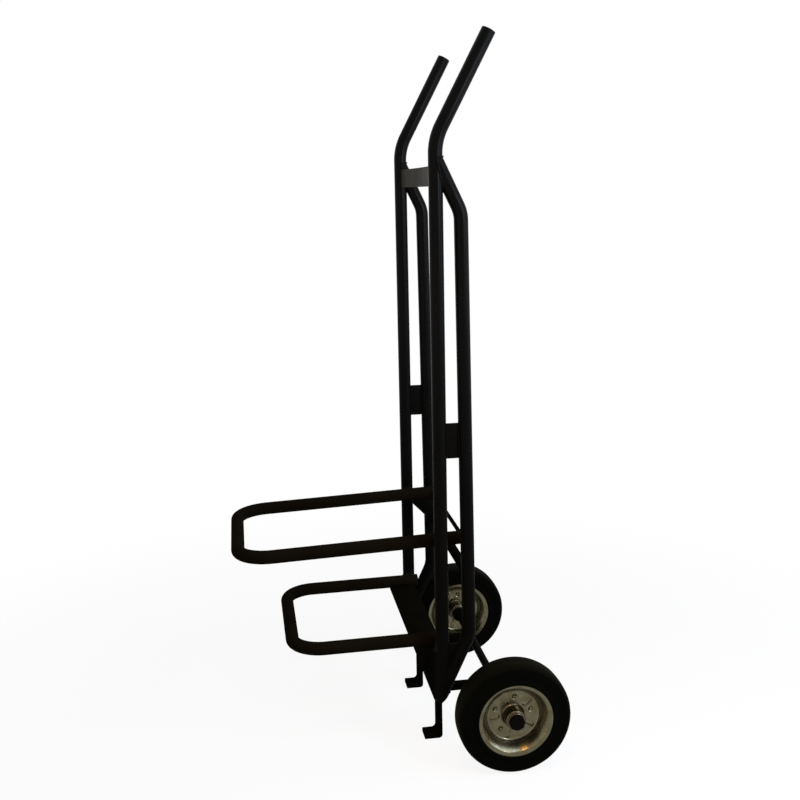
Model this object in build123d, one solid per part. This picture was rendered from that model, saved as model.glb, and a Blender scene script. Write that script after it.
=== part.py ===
from build123d import *
import os
from math import cos, radians, sin, sqrt, tan

# Steel tube and clearances
tube_od = 25.4
tube_wall = 2.0
weld_gap = 0.15
running_gap = 0.05
axle_slip = 0.05
side_play = 0.4

# Side frames: heights above the floor, distances behind the main tube
frame_spacing = 396.0
main_foot_drop = 2.0
main_foot_mitre = 17.0
handle_bend_height = 1152.0
handle_length = 203.0
handle_angle = 28.0
handle_bend_radius = 100.0
brace_drop = 32.0
brace_fall = 93.0
rear_top_offset = 44.0
rear_low_offset = 51.5
rear_foot_rise = 20.0
rear_low_rise = 109.5
rear_bend_radius = 60.0

# Plates in the side frames
web_top = 653.0
web_height = 65.0
web_thickness = 5.0
foot_gusset_thickness = 4.0
foot_gusset_rise = 93.5

# Strap between the main tubes below the handles
strap_height = 36.0
strap_thickness = 4.0
strap_drop = 61.0
strap_setback = -2.0
strap_sag = 8.0

# Forks, measured from the main tubes, and the spacers that join them to these
fork_spacing = 314.0
spacer_diameter = 18.0
upper_fork_height = 421.5
upper_fork_reach = 371.0
upper_fork_droop = 2.1
upper_fork_tail = 64.0
upper_corner_radius = 62.0
lower_fork_height = 225.0
lower_fork_reach = 276.0
lower_fork_droop = 0.7
lower_corner_radius = 58.0

# Rod through the upper fork's tails, cross tube below it and the plate between them
tie_rod_diameter = 8.0
cross_tube_od = 19.0
cross_tube_wall = 1.5
cross_tube_drop = 56.5
fork_gusset_thickness = 5.0
fork_gusset_front = 6.0
fork_gusset_front_drop = 9.0
fork_gusset_heel = 33.0
fork_gusset_heel_rise = 7.0
fork_gusset_rear = 60.0

# Shelf plate between the lower fork's arms
shelf_front = 50.0
shelf_rear = 5.0
shelf_thickness = 4.0

# Cross bar at the foot of the frame and the plate on its front
cross_bar_rise = 11.0
cross_bar_size = 25.0
cross_bar_wall = 2.0
front_plate_thickness = 4.0

# Axle, its sleeves, the feet and the arms between feet and sleeves
axle_setback = 119.5
axle_diameter = 16.0
arm_spacing = 224.0
arm_od = 19.0
arm_wall = 1.5
arm_drop = 6.0
sleeve_od = 24.0
sleeve_length = 40.0
foot_width = 34.0
foot_thickness = 9.5
foot_toe_length = 36.0
foot_back = 11.5
foot_bend_radius = 8.0

# Wheels and what keeps them on the axle
wheel_track = 520.0
tyre_diameter = 214.0
tyre_width = 60.0
tyre_shoulder = 17.0
tyre_seat_gap = 0.2
tyre_bead_gap = 1.6
rim_width = 56.0
rim_edge_radius = 70.0
rim_lip_width = 8.0
rim_lip_depth = 2.5
rim_disc_radius = 50.0
rim_flare_start = 12.0
rim_wall_rise = 4.0
rim_sheet = 2.0
rivet_circle_radius = 35.5
rivet_count = 5
rivet_start_angle = -5.0
rivet_shank_diameter = 6.0
rivet_head_diameter = 10.0
rivet_head_height = 2.0
hub_od = 38.0
hub_wall = 3.5
hub_length = 52.0
bush_length = 20.0
bush_flange = 2.0
bush_flange_od = 34.0
washer_od = 32.0
washer_thickness = 2.5
cap_od = 28.5
cap_length = 7.0
cap_wall = 1.6
collar_od = 28.5
collar_width = 12.0

# Values that follow from the sizes above
tube_r = tube_od / 2
bore_r = tube_r - tube_wall
cut_r = tube_r + weld_gap
main_x = frame_spacing / 2
fork_x = fork_spacing / 2
arm_x = arm_spacing / 2
wheel_x = wheel_track / 2
tyre_r = tyre_diameter / 2
axle_r = axle_diameter / 2
axle_height = tyre_r
cross_bar_bottom = axle_height + cross_bar_rise
main_foot_height = cross_bar_bottom - main_foot_drop
rear_foot_height = main_foot_height + rear_foot_rise
rear_low_height = rear_foot_height + rear_low_rise
brace_height = handle_bend_height - brace_drop
rear_top_height = brace_height - brace_fall
cross_tube_height = upper_fork_height - cross_tube_drop
front_reach = upper_fork_reach * cos(radians(upper_fork_droop)) + tube_r
back_reach = axle_setback + tyre_r
middle_y = (back_reach - front_reach) / 2
SIDES = {"left": 1, "right": -1}

os.makedirs("parts", exist_ok=True)


def save(name, shape):
    """Move a piece from the main-tube datum to the middle of the footprint and write it."""
    export_step(Pos(0, -middle_y, 0) * shape, f"parts/{name}.step")


def bent_rod(path, radius):
    """Solid round bar of the given radius along a path."""
    start = Plane(origin=path @ 0, z_dir=path % 0)
    return sweep(start * Circle(radius), path)


def bent_tube(path, outer, inner):
    """Round tube along a path."""
    start = Plane(origin=path @ 0, z_dir=path % 0)
    return sweep(start * (Circle(outer) - Circle(inner)), path)


def bar_along_x(radius, x_low, x_high, y, z):
    """Round bar parallel to X."""
    length = x_high - x_low
    return Pos((x_low + x_high) / 2, y, z) * Rot(0, 90, 0) * Cylinder(radius, length)


def plate_across_x(outline, thickness, x):
    """Flat plate whose outline is drawn in Y and Z, centred on the plane at x."""
    face = make_face(Polyline([(0, y, z) for y, z in outline], close=True))
    return Pos(x - thickness / 2, 0, 0) * extrude(face, thickness, dir=(1, 0, 0))


# Main tubes: from a foot mitred at its back up to the handle bend, then back to the cut handle end
def main_path(x):
    reach = handle_length * sin(radians(handle_angle))
    rise = handle_length * cos(radians(handle_angle))
    foot = (x, 0, main_foot_height)
    bend = (x, 0, handle_bend_height)
    end = (x, reach, handle_bend_height + rise)
    return FilletPolyline(foot, bend, end, radius=handle_bend_radius)


# Rear tubes: from the main tube's head out and down, then in again to the main tube's foot
def rear_path(x):
    head = (x, 0, brace_height)
    top = (x, rear_top_offset, rear_top_height)
    low = (x, rear_low_offset, rear_low_height)
    foot = (x, 0, rear_foot_height)
    return FilletPolyline(head, top, low, foot, radius=rear_bend_radius)


def rear_offset_at(height):
    share = (rear_top_height - height) / (rear_top_height - rear_low_height)
    return rear_top_offset + share * (rear_low_offset - rear_top_offset)


main_cut = {}
rear_cut = {}
for side, sign in SIDES.items():
    x = sign * main_x
    main_cut[side] = bent_rod(main_path(x), cut_r)
    rear_cut[side] = bent_rod(rear_path(x), cut_r)
    mitre_line = [
        (tube_r - main_foot_mitre - 1, main_foot_height - 1),
        (tube_r + 1, main_foot_height - 1),
        (tube_r + 1, main_foot_height + main_foot_mitre + 1),
    ]
    mitre = plate_across_x(mitre_line, 2 * tube_od, x)
    save(f"main_tube_{side}", bent_tube(main_path(x), tube_r, bore_r) - mitre)
    save(f"rear_tube_{side}", bent_tube(rear_path(x), tube_r, bore_r) - main_cut[side])

    web_depth = rear_offset_at(web_top)
    web_centre = web_top - web_height / 2
    web = Pos(x, web_depth / 2, web_centre) * Box(web_thickness, web_depth, web_height)
    save(f"web_plate_{side}", web - main_cut[side] - rear_cut[side])

# Plate in the V at the foot of the left side frame; the right one is left open
gusset_top = rear_foot_height + foot_gusset_rise
gusset_back = rear_low_offset * foot_gusset_rise / rear_low_rise
gusset_outline = [(0, rear_foot_height), (0, gusset_top), (gusset_back, gusset_top)]
foot_gusset = plate_across_x(gusset_outline, foot_gusset_thickness, main_x)
save("foot_gusset", foot_gusset - main_cut["left"] - rear_cut["left"])


def clear_of_frame(shape):
    """Cope a cross piece where it meets the tubes of the two side frames."""
    for cut in list(main_cut.values()) + list(rear_cut.values()):
        shape = shape - cut
    return shape


# Strap: flat bar bowed backwards between the main tubes
strap_middle = (0, strap_setback + strap_sag)
front_curve = ThreePointArc((-main_x, strap_setback), strap_middle, (main_x, strap_setback))
back_curve = Pos(0, strap_thickness, 0) * front_curve
strap_ends = [Line(front_curve @ end, back_curve @ end) for end in (0, 1)]
strap_face = make_face([front_curve, back_curve] + strap_ends)
strap_bottom = handle_bend_height - strap_drop - strap_height / 2
strap = Pos(0, 0, strap_bottom) * extrude(strap_face, strap_height)
save("handle_strap", clear_of_frame(strap))


# Forks: one tube bent to a U, drawn flat and then drooped about the line where it meets the main tubes
def fork_path(reach, tail, radius):
    points = [(-fork_x, tail), (-fork_x, -reach), (fork_x, -reach), (fork_x, tail)]
    return FilletPolyline(*points, radius=radius)


upper_place = Pos(0, 0, upper_fork_height) * Rot(upper_fork_droop, 0, 0)
upper_path = fork_path(upper_fork_reach, upper_fork_tail, upper_corner_radius)
upper_cut = upper_place * bent_rod(upper_path, cut_r)
lower_place = Pos(0, 0, lower_fork_height) * Rot(lower_fork_droop, 0, 0)
lower_path = fork_path(lower_fork_reach, tube_r, lower_corner_radius)
lower_cut = lower_place * bent_rod(lower_path, cut_r)

rod_y = rear_offset_at(upper_fork_height)
rod_z = upper_fork_height + rod_y * tan(radians(upper_fork_droop))
rod_r = tie_rod_diameter / 2
rod = bar_along_x(rod_r, -main_x, main_x, rod_y, rod_z)
rod_hole = bar_along_x(rod_r + weld_gap, -main_x, main_x, rod_y, rod_z)
save("upper_fork", upper_place * bent_tube(upper_path, tube_r, bore_r) - rod_hole)
save("fork_tie_rod", clear_of_frame(rod))
save("lower_fork", lower_place * bent_tube(lower_path, tube_r, bore_r))

spacers = []
for sign in SIDES.values():
    ends = sorted((sign * fork_x, sign * main_x))
    for height, fork_cut in ((upper_fork_height, upper_cut), (lower_fork_height, lower_cut)):
        spacers.append(clear_of_frame(bar_along_x(spacer_diameter / 2, *ends, 0, height)) - fork_cut)
save("fork_spacers", Part() + spacers)

# Cross tube between the rear tubes, and the plate that ties the right arm's tail to it
cross_y = rear_offset_at(cross_tube_height)
cross_r = cross_tube_od / 2
cross_tube = bar_along_x(cross_r, -main_x, main_x, cross_y, cross_tube_height)
cross_tube = cross_tube - bar_along_x(cross_r - cross_tube_wall, -main_x, main_x, cross_y, cross_tube_height)
save("rear_cross_tube", clear_of_frame(cross_tube))

cross_cut = bar_along_x(cross_r + weld_gap, -main_x, main_x, cross_y, cross_tube_height)
fork_gusset_outline = [
    (fork_gusset_front, upper_fork_height),
    (fork_gusset_front, upper_fork_height - tube_r - fork_gusset_front_drop),
    (fork_gusset_heel, cross_tube_height + fork_gusset_heel_rise),
    (cross_y, cross_tube_height - cross_r),
    (fork_gusset_rear, cross_tube_height),
    (fork_gusset_rear, upper_fork_height),
]
fork_gusset = plate_across_x(fork_gusset_outline, fork_gusset_thickness, -fork_x)
save("fork_gusset", fork_gusset - upper_cut - cross_cut)

# Shelf plate between the lower fork's arms, level with their underside
shelf_depth = shelf_front + shelf_rear
shelf_half = fork_x - sqrt(cut_r**2 - (tube_r - shelf_thickness) ** 2)
shelf_middle = Pos(0, (shelf_rear - shelf_front) / 2, shelf_thickness / 2 - tube_r)
save("lower_shelf", lower_place * shelf_middle * Box(2 * shelf_half, shelf_depth, shelf_thickness))

# Cross bar between the main tubes' feet, with a plate standing on its front face
bar_z = cross_bar_bottom + cross_bar_size / 2
cross_bar_bore = cross_bar_size - 2 * cross_bar_wall
cross_bar = Pos(0, 0, bar_z) * Box(2 * main_x, cross_bar_size, cross_bar_size)
cross_bar = cross_bar - Pos(0, 0, bar_z) * Box(2 * main_x, cross_bar_bore, cross_bar_bore)
save("foot_cross_bar", clear_of_frame(cross_bar))

plate_reach = tube_r + weld_gap + front_plate_thickness
fork_underside = lower_fork_height - tube_r / cos(radians(lower_fork_droop))
plate_top = fork_underside - plate_reach * tan(radians(lower_fork_droop)) - weld_gap
plate_height = plate_top - cross_bar_bottom
plate_back = -tube_r - weld_gap
plate_y = plate_back - front_plate_thickness / 2
plate_z = cross_bar_bottom + plate_height / 2
front_plate = Pos(0, plate_y, plate_z) * Box(2 * main_x, front_plate_thickness, plate_height)
save("front_plate", front_plate)

# Feet welded under the cross bar, and tube arms from their backs to the sleeves that hold the axle
arm_r = arm_od / 2
arm_z = axle_height - arm_drop
arm_front = foot_back + weld_gap
sleeve_r = sleeve_od / 2
for side, sign in SIDES.items():
    x = sign * arm_x
    arm_path = Line((x, arm_front, arm_z), (x, axle_setback, arm_z))
    arm = bent_tube(arm_path, arm_r, arm_r - arm_wall)
    sleeve_ends = (x - sleeve_length / 2, x + sleeve_length / 2)
    sleeve_cut = bar_along_x(sleeve_r + weld_gap, *sleeve_ends, axle_setback, axle_height)
    save(f"axle_arm_{side}", arm - sleeve_cut)

    sleeve = bar_along_x(sleeve_r, *sleeve_ends, axle_setback, axle_height)
    sleeve_bore = bar_along_x(axle_r + axle_slip, *sleeve_ends, axle_setback, axle_height)
    save(f"axle_sleeve_{side}", sleeve - sleeve_bore)

    toe_front = foot_back - foot_toe_length
    leg_top = cross_bar_bottom - weld_gap
    leg_front = foot_back - foot_thickness
    foot_outline = [
        (toe_front, 0),
        (foot_back, 0),
        (foot_back, leg_top),
        (leg_front, leg_top),
        (leg_front, foot_thickness),
        (toe_front, foot_thickness),
    ]
    foot = plate_across_x(foot_outline, foot_width, x)
    bends = [edge for edge in foot.edges().filter_by(Axis.X) if abs(edge.center().Z - foot_thickness) < 0.01]
    inner_bend = [edge for edge in bends if abs(edge.center().Y - leg_front) < 0.01]
    save(f"foot_{side}", fillet(inner_bend, foot_bend_radius))

# Axle through both sleeves, long enough for a wheel, a washer and a push-on cap at each end
hub_reach = hub_length / 2 + bush_flange
washer_inner = wheel_x + hub_reach + side_play
washer_outer = washer_inner + washer_thickness
cap_inner = washer_outer + weld_gap
cap_bore_end = cap_inner + cap_length - cap_wall
axle_half = cap_bore_end - weld_gap
save("axle", bar_along_x(axle_r, -axle_half, axle_half, axle_setback, axle_height))


def turned(face, x):
    """Spin a section drawn as (distance along the axle, radius) about the axle at x."""
    return Pos(x, axle_setback, axle_height) * revolve(face, Axis.X, 360)


def ring(inner_r, outer_r, x_low, x_high):
    """Plain ring round the axle between two distances from the wheel's middle."""
    centre = Pos((x_low + x_high) / 2, (inner_r + outer_r) / 2)
    return centre * Rectangle(x_high - x_low, outer_r - inner_r)


# Pressed rim half at positive x: flat disc, a wall that flares like a bell, and a lip
def rim_line(extension=0):
    """Middle of the sheet as (distance along the axle, radius), the lip made longer by the extension."""
    half = rim_width / 2
    middle = rim_sheet / 2
    hub_edge = (middle, hub_od / 2 + weld_gap)
    disc_edge = (middle, rim_disc_radius)
    flare_edge = (rim_flare_start, rim_disc_radius + rim_wall_rise)
    wall_edge = (half - rim_lip_depth, rim_edge_radius - rim_lip_width)
    lip_edge = (half + extension * rim_lip_depth / rim_lip_width, rim_edge_radius + extension)
    return Polyline(hub_edge, disc_edge, flare_edge, wall_edge, lip_edge)


def tyre_section():
    """Tyre on the two rim walls: crowned tread, round shoulders and straight flanks."""
    half = tyre_width / 2
    shoulder_r = tyre_r - tyre_shoulder
    wall_edge = rim_line() @ 1 - Vector(rim_lip_depth, rim_lip_width)
    lip_edge = rim_line(tyre_seat_gap) @ 1
    flank_low = (half, rim_edge_radius + rim_sheet)
    bead_r = rim_disc_radius + rim_wall_rise + tyre_bead_gap
    bead = [(0, bead_r), (rim_flare_start, bead_r)]
    inside = Polyline(*bead, wall_edge, lip_edge, flank_low, (half, shoulder_r))
    shoulder = JernArc((half, shoulder_r), (0, 1), tyre_shoulder, 90)
    crown = Line(shoulder @ 1, (0, tyre_r))
    middle = Line((0, tyre_r), (0, bead_r))
    half_face = make_face([inside, shoulder, crown, middle])
    half_face = half_face - trace(rim_line(tyre_seat_gap), rim_sheet + 2 * tyre_seat_gap)
    return half_face + mirror(half_face, Plane.YZ)


bush_outer_r = hub_od / 2 - hub_wall
bush_bore_r = axle_r + running_gap
bush_end = hub_length / 2
bush_section = ring(bush_bore_r, bush_outer_r, bush_end - bush_length, bush_end)
bush_section = bush_section + ring(bush_bore_r, bush_flange_od / 2, bush_end, hub_reach)
hub_section = ring(bush_outer_r, hub_od / 2, -bush_end, bush_end)
washer_section = ring(axle_r + axle_slip, washer_od / 2, 0, washer_thickness)
cap_section = ring(axle_r + axle_slip, cap_od / 2, cap_inner, cap_bore_end)
cap_section = cap_section + ring(0, cap_od / 2, cap_bore_end, cap_bore_end + cap_wall)
collar_section = ring(axle_r + axle_slip, collar_od / 2, 0, collar_width)

for side, sign in SIDES.items():
    x = sign * wheel_x
    save(f"tyre_{side}", turned(tyre_section(), x))
    save(f"hub_{side}", turned(hub_section, x))

    rivet_holes = []
    rivets = []
    for index in range(rivet_count):
        turn = Rot(rivet_start_angle + 360 * index / rivet_count, 0, 0)
        place = Pos(x, axle_setback, axle_height) * turn * Pos(0, 0, rivet_circle_radius) * Rot(0, 90, 0)
        grip = 2 * rim_sheet
        shank = Cylinder(rivet_shank_diameter / 2, grip)
        rivet_holes.append(place * Cylinder(rivet_shank_diameter / 2, grip))
        head = Cylinder(rivet_head_diameter / 2, rivet_head_height)
        head_rise = rim_sheet + rivet_head_height / 2
        rivets.append(place * (shank + Pos(0, 0, head_rise) * head + Pos(0, 0, -head_rise) * head))
    save(f"rim_rivets_{side}", Part() + rivets)

    for face_name, facing in (("outer", sign), ("inner", -sign)):
        half = turned(trace(rim_line(), rim_sheet), 0)
        half = half if facing > 0 else mirror(half, Plane.YZ)
        half = Pos(x, 0, 0) * half
        for hole in rivet_holes:
            half = half - hole
        save(f"rim_{face_name}_{side}", half)

        bush = turned(bush_section, 0)
        bush = bush if facing > 0 else mirror(bush, Plane.YZ)
        save(f"bush_{face_name}_{side}", Pos(x, 0, 0) * bush)

    washer_x = washer_inner if sign > 0 else -washer_outer
    save(f"axle_washer_{side}", turned(washer_section, washer_x))

    collar_outer = wheel_x - hub_reach - side_play
    collar_x = collar_outer - collar_width if sign > 0 else -collar_outer
    save(f"axle_collar_{side}", turned(collar_section, collar_x))

    cap = turned(cap_section, 0)
    cap = cap if sign > 0 else mirror(cap, Plane.YZ)
    save(f"axle_cap_{side}", cap)
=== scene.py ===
from math import cos, degrees, pi, radians, sin, sqrt, tan

import bmesh
import bpy
from mathutils import Matrix, Vector


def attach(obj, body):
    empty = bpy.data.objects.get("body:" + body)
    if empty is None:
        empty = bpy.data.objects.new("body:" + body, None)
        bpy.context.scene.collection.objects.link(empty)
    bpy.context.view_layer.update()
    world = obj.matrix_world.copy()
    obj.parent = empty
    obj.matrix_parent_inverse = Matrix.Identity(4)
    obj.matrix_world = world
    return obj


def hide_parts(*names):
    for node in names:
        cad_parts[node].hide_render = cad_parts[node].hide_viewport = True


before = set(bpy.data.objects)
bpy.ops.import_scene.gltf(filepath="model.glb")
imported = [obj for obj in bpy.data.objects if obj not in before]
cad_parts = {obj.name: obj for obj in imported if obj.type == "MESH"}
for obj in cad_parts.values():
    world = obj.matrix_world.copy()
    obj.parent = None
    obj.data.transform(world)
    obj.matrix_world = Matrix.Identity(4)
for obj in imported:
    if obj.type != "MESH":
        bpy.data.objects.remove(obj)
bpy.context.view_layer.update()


# Main tubes: two round steel tubes, an inch across, from the foot of the frame to the handles.
# Each is bent back once, sawn square at the handle and mitred at the back of its foot; the ends are open.
# Sizes are millimetres on the drawing, whose datum is the axis of these tubes on the floor.
mm = 0.001
datum_y = 78.475
tube_radius = 12.7
tube_bore = 10.7
main_x = 198.0
main_foot_z = 116.0
foot_mitre = 17.0
handle_bend_z = 1152.0
handle_length = 203.0
handle_lean = radians(28)
handle_bend_radius = 100.0
SIDES = (("left", 1), ("right", -1))


def linear(hex_colour):
    """An sRGB hex colour as linear red, green, blue and alpha."""
    channels = [int(hex_colour[i:i + 2], 16) / 255 for i in (1, 3, 5)]
    return [c / 12.92 if c <= 0.04045 else ((c + 0.055) / 1.055) ** 2.4 for c in channels] + [1.0]


def add_node(tree, kind, settings={}, inputs={}):
    """Add a node with its settings; an input is a value or an output socket to link."""
    node = tree.nodes.new(kind)
    for name, value in settings.items():
        setattr(node, name, value)
    for name, value in inputs.items():
        if isinstance(value, bpy.types.NodeSocket):
            tree.links.new(value, node.inputs[name])
        else:
            node.inputs[name].default_value = value
    return node


def new_material(name):
    """A material with no surface yet, its node tree, and the place of a point on the piece."""
    material = bpy.data.materials.new(name)
    material.use_nodes = True
    tree = material.node_tree
    tree.nodes.clear()
    return material, tree, add_node(tree, "ShaderNodeTexCoord").outputs["Object"]


def finished(material, tree, inputs):
    """Give a material its surface."""
    shader = add_node(tree, "ShaderNodeBsdfPrincipled", inputs=inputs)
    add_node(tree, "ShaderNodeOutputMaterial", inputs={"Surface": shader.outputs["BSDF"]})
    return material


def dusted(tree, place, colour, held, grit, dust_colour):
    """A colour with dust of a grit on it, as much as is held there."""
    grains = add_node(tree, "ShaderNodeTexNoise", inputs={
        "Vector": place, "Scale": 1 / grit, "Detail": 6.0})
    share = add_node(tree, "ShaderNodeMath", {"operation": "MULTIPLY"}, {
        0: held.outputs["Result"], 1: grains.outputs["Fac"]})
    return add_node(tree, "ShaderNodeMix", {"data_type": "RGBA"}, {
        "Factor": share.outputs[0], "A": colour.outputs["Result"], "B": linear(dust_colour)})


def sprayed_enamel(name, thin, thick, smoothest, roughest, level):
    """Black enamel sprayed over welded steel: a nearly black film with a fine orange peel and a cloudy
    gloss that is scuffed dull towards the floor, a little grey dust where faces look up, and small
    chips down to the primer."""
    scuffed_below = 350 * mm
    glossy_above = 850 * mm
    material, tree, place = new_material(name)
    cloud = add_node(tree, "ShaderNodeTexNoise", inputs={
        "Vector": place, "Scale": 1 / (60 * mm), "Detail": 5.0})
    film = add_node(tree, "ShaderNodeMix", {"data_type": "RGBA"}, {
        "Factor": cloud.outputs["Fac"], "A": linear(thin), "B": linear(thick)})
    normal = add_node(tree, "ShaderNodeNewGeometry").outputs["Normal"]
    up = add_node(tree, "ShaderNodeSeparateXYZ", inputs={"Vector": normal})
    settled = add_node(tree, "ShaderNodeMapRange", inputs={
        "Value": up.outputs["Z"], "From Min": 0.2, "From Max": 1.0, "To Min": 0.0, "To Max": 0.025})
    dusty = dusted(tree, place, film, settled, 4 * mm, "#6b6455")
    cells = add_node(tree, "ShaderNodeTexVoronoi", inputs={"Vector": place, "Scale": 1 / (18 * mm)})
    patch = add_node(tree, "ShaderNodeTexNoise", inputs={
        "Vector": place, "Scale": 1 / (110 * mm), "Detail": 3.0})
    reach = add_node(tree, "ShaderNodeMapRange", inputs={
        "Value": patch.outputs["Fac"], "From Min": 0.56, "From Max": 0.72, "To Min": 0.0, "To Max": 0.055})
    chip = add_node(tree, "ShaderNodeMath", {"operation": "LESS_THAN"}, {
        0: cells.outputs["Distance"], 1: reach.outputs["Result"]})
    chipped = add_node(tree, "ShaderNodeMix", {"data_type": "RGBA"}, {
        "Factor": chip.outputs[0], "A": dusty.outputs["Result"], "B": linear("#2e2b26")})
    gloss = add_node(tree, "ShaderNodeMapRange", inputs={
        "Value": cloud.outputs["Fac"], "From Min": 0.3, "From Max": 0.7,
        "To Min": smoothest, "To Max": roughest})
    height = add_node(tree, "ShaderNodeSeparateXYZ", inputs={"Vector": place}).outputs["Z"]
    scuffs = add_node(tree, "ShaderNodeMapRange", inputs={
        "Value": height, "From Min": scuffed_below, "From Max": glossy_above, "To Min": 0.25, "To Max": 0.0})
    dulled = add_node(tree, "ShaderNodeMath", {"operation": "ADD"}, {
        0: gloss.outputs["Result"], 1: scuffs.outputs["Result"]})
    sheen = add_node(tree, "ShaderNodeMapRange", inputs={
        "Value": height, "From Min": scuffed_below, "From Max": glossy_above,
        "To Min": 0.3 * level, "To Max": level})
    peel = add_node(tree, "ShaderNodeTexNoise", inputs={
        "Vector": place, "Scale": 1 / (2.4 * mm), "Detail": 2.0})
    bump = add_node(tree, "ShaderNodeBump", inputs={
        "Strength": 0.12, "Distance": 0.6 * mm, "Height": peel.outputs["Fac"]})
    return finished(material, tree, {
        "Base Color": chipped.outputs["Result"], "Roughness": dulled.outputs[0],
        "Normal": bump.outputs["Normal"], "IOR": 1.5, "Specular IOR Level": sheen.outputs["Result"]})


def first_ring(bm, place, heading, radius, sides):
    """A ring of edges round a place, square to a heading."""
    facing = Matrix.Translation(place) @ heading.to_track_quat("Z", "Y").to_matrix().to_4x4()
    circle = bmesh.ops.create_circle(bm, radius=radius, segments=sides, matrix=facing)["verts"]
    return list({edge for vert in circle for edge in vert.link_edges})


def extruded(bm, ring, step):
    """Extrude a loop of edges by a step and return the new loop."""
    made = bmesh.ops.extrude_edge_only(bm, edges=ring)["geom"]
    verts = {item for item in made if isinstance(item, bmesh.types.BMVert)}
    bmesh.ops.translate(bm, verts=list(verts), vec=step)
    edges = [item for item in made if isinstance(item, bmesh.types.BMEdge)]
    return [edge for edge in edges if edge.verts[0] in verts and edge.verts[1] in verts]


def rounded(bm, edges, offset, segments):
    """Round edges off."""
    bmesh.ops.bevel(
        bm, geom=edges, offset=offset, segments=segments, profile=0.5, affect="EDGES", material=-1)


def tube_skin(bm, corners, bend_radius, radius, sides):
    """One skin of a bent tube: a ring extruded along each run and spun round each bend."""
    points = [Vector(corner) for corner in corners]
    here = points[0]
    heading = (points[1] - here).normalized()
    first = first_ring(bm, here, heading, radius, sides)
    ring = first
    for corner, after in zip(points[1:-1], points[2:]):
        onward = (after - corner).normalized()
        turn = heading.angle(onward)
        tangent = bend_radius * tan(turn / 2)
        ring = extruded(bm, ring, corner - heading * tangent - here)
        here = corner - heading * tangent
        axis = heading.cross(onward).normalized()
        centre = here + axis.cross(heading) * bend_radius
        steps = max(6, round(degrees(turn) / 3))
        last = bmesh.ops.spin(bm, geom=ring, cent=centre, axis=axis, angle=turn, steps=steps)["geom_last"]
        ring = [item for item in last if isinstance(item, bmesh.types.BMEdge)]
        here = corner + onward * tangent
        heading = onward
    return first, extruded(bm, ring, points[-1] - here)


def bent_tube(bm, corners, bend_radius, outer, bore, sides=48):
    """A tube with its bore, both ends sawn square and deburred."""
    outside = tube_skin(bm, corners, bend_radius, outer, sides)
    inside = tube_skin(bm, corners, bend_radius, bore, sides)
    for outer_end, inner_end in zip(outside, inside):
        bmesh.ops.bridge_loops(bm, edges=outer_end + inner_end)
    rounded(bm, [edge for end in outside + inside for edge in end], offset=0.5, segments=2)


def add_piece(bm, name, material, stands_for=(), body="frame", sharp=32):
    """Close the seams, turn the faces outwards, put the mesh in the row frame and make it a piece."""
    bmesh.ops.remove_doubles(bm, verts=bm.verts, dist=0.002)
    bmesh.ops.recalc_face_normals(bm, faces=bm.faces)
    bmesh.ops.translate(bm, verts=bm.verts, vec=(0, datum_y, 0))
    bmesh.ops.scale(bm, verts=bm.verts, vec=(mm, mm, mm))
    mesh = bpy.data.meshes.new(name)
    bm.to_mesh(mesh)
    bm.free()
    mesh.shade_smooth()
    mesh.set_sharp_from_angle(angle=radians(sharp))
    mesh.materials.append(material)
    piece = bpy.data.objects.new(name, mesh)
    bpy.context.scene.collection.objects.link(piece)
    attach(piece, body)
    if stands_for:
        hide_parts(*stands_for)


black_enamel = sprayed_enamel(
    "black_enamel_sprayed_on_tube", thin="#040403", thick="#090807",
    smoothest=0.26, roughest=0.34, level=0.042)
for side, sign in SIDES:
    bm = bmesh.new()
    foot = (sign * main_x, 0, main_foot_z)
    bend = (sign * main_x, 0, handle_bend_z)
    tip = (sign * main_x, handle_length * sin(handle_lean), handle_bend_z + handle_length * cos(handle_lean))
    bent_tube(bm, [foot, bend, tip], handle_bend_radius, tube_radius, tube_bore)
    for vert in bm.verts:
        if vert.co.z < main_foot_z + 1:
            vert.co.z += max(0, vert.co.y - (tube_radius - foot_mitre))
    add_piece(bm, f"tube_main_{side}", black_enamel, [f"main_tube_{side}"])


# Rear tubes: the same tube bent twice, welded to the main tube under the handle bend and at the foot.
# Two tubes of one size meet along two flat half ovals, and the weld bead runs round that seam.
brace_z = 1120.0
rear_top = (44.0, 1027.0)
rear_low = (51.5, 245.5)
rear_foot_z = 136.0
rear_bend_radius = 60.0
bead_radius = 2.2
bead_step = 0.9
bead_sides = 8
ripple_pitch = 3.4
ripple_swell = 0.2
hand_wander = 0.08


def evenly(points, step):
    """The same line with its points a step apart."""
    spaced = [points[0].copy()]
    left = step
    for start, stop in zip(points, points[1:]):
        length = (stop - start).length
        done = 0.0
        while length - done >= left:
            done += left
            spaced.append(start.lerp(stop, done / length))
            left = step
        left -= length - done
    return spaced


def weld_bead(bm, points, radius):
    """A rippled bead along a line: a small ring extruded from point to point that swells at each ripple."""
    path = evenly([Vector(point) for point in points], bead_step)
    heading = (path[1] - path[0]).normalized()
    ring = first_ring(bm, path[0], heading, radius, bead_sides)
    bmesh.ops.contextual_create(bm, geom=ring)
    size = 1.0
    for index in range(1, len(path)):
        here = path[index]
        onward = (path[min(index + 1, len(path) - 1)] - path[index - 1]).normalized()
        ring = extruded(bm, ring, here - path[index - 1])
        verts = list({vert for edge in ring for vert in edge.verts})
        turn = heading.rotation_difference(onward).to_matrix()
        bmesh.ops.rotate(bm, verts=verts, cent=here, matrix=turn)
        ripple = index * bead_step / ripple_pitch
        wanted = 0.82 + ripple_swell * abs(sin(pi * ripple)) + hand_wander * sin(0.37 * index)
        grow = wanted / size
        bmesh.ops.scale(bm, verts=verts, vec=(grow, grow, grow), space=Matrix.Translation(-here))
        size = wanted
        heading = onward
    bmesh.ops.contextual_create(bm, geom=ring)


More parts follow.
